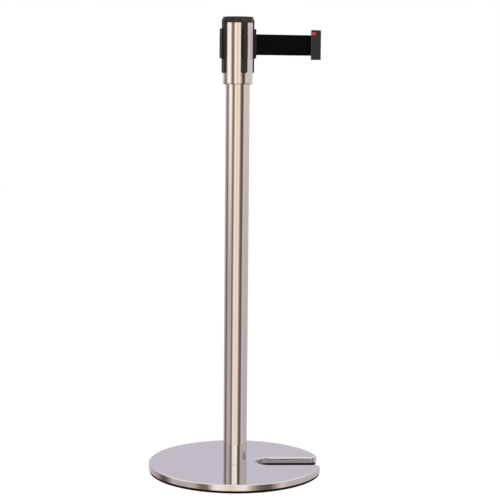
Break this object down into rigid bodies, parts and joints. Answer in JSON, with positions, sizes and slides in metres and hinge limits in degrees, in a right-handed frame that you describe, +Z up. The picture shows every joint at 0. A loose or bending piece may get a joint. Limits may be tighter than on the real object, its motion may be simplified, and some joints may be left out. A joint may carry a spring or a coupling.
{
  "type": "retractable belt stanchion",
  "caption": "Polished post on a round weighted base with a nesting slot. Its head holds a spring-wound belt with a locking end clip and three rails that take the belts of other posts.",
  "frame": {"origin": "on the floor, at the axis of the post", "axes": "+Z up the post; +X from the post out along the nesting slot of the base; the belt leaves the head 22 degrees round from +X towards +Y"},
  "size_m": [0.3545, 0.36, 0.9367],
  "materials": {
    "polished_stainless": "polished",
    "black_rubber": "matte",
    "cast_weight": "rough",
    "zinc_steel": "satin",
    "spring_steel": "satin",
    "black_plastic": "satin",
    "white_nylon": "satin",
    "black_webbing": "woven",
    "red_plastic": "gloss"
  },
  "bodies": {
    "stand": {"floor_pad": "black_rubber", "base_weight": "cast_weight", "base_cover": "polished_stainless", "base_bolt": "zinc_steel", "spring_washer": "zinc_steel", "flat_washer": "zinc_steel", "tube_foot": "zinc_steel", "post_tube": "polished_stainless", "top_plug": "zinc_steel", "neck_ring": "black_plastic", "head_sleeve": "polished_stainless", "head_core": "black_plastic", "head_bolt": "zinc_steel", "head_washer": "zinc_steel", "receiver_left": "black_plastic", "receiver_front": "black_plastic", "receiver_rear": "black_plastic", "belt_mouth": "black_plastic", "cassette_body": "white_nylon", "cassette_lid": "white_nylon", "spool_axle": "zinc_steel", "e_clip": "spring_steel", "washer_lower": "white_nylon", "washer_upper": "white_nylon", "power_spring": "spring_steel", "head_cap": "black_plastic"},
    "spool": {"spool_drum": "white_nylon", "spool_flange": "white_nylon", "belt_roll": "black_webbing"},
    "belt_end": {"belt": "black_webbing", "belt_end_front": "black_plastic", "belt_end_back": "black_plastic", "clamp_pin": "zinc_steel", "shell_screws": "zinc_steel", "lever_pin": "zinc_steel", "lock_spring": "spring_steel"},
    "lock_lever": {"lock_lever": "red_plastic"}
  },
  "joints": [
    {"name": "belt_pull", "type": "slide", "parent": "stand", "child": "belt_end", "axis": [0.9272, 0.3746, 0], "range_m": [-0.1252, 1.85], "stiffness_N_per_m": 2.2, "springref_m": -3.6, "deforming": ["belt"]},
    {"name": "reel_turn", "type": "hinge", "parent": "stand", "child": "spool", "pos_m": [0, 0, 0.8815], "axis": [0, 0, 1], "range_deg": [-5200, 400]},
    {"name": "lock_press", "type": "hinge", "parent": "belt_end", "child": "lock_lever", "pos_m": [0.16725, 0.06229, 0.90325], "axis": [0, 0, -1], "range_deg": [0, 6.5], "stiffness_Nm_per_rad": 0.05, "springref_deg": -5.73, "deforming": ["lock_spring"]}
  ],
  "couplings": [
    {"joint": "reel_turn", "follows": "belt_pull", "rad_per_m": -48}
  ]
}
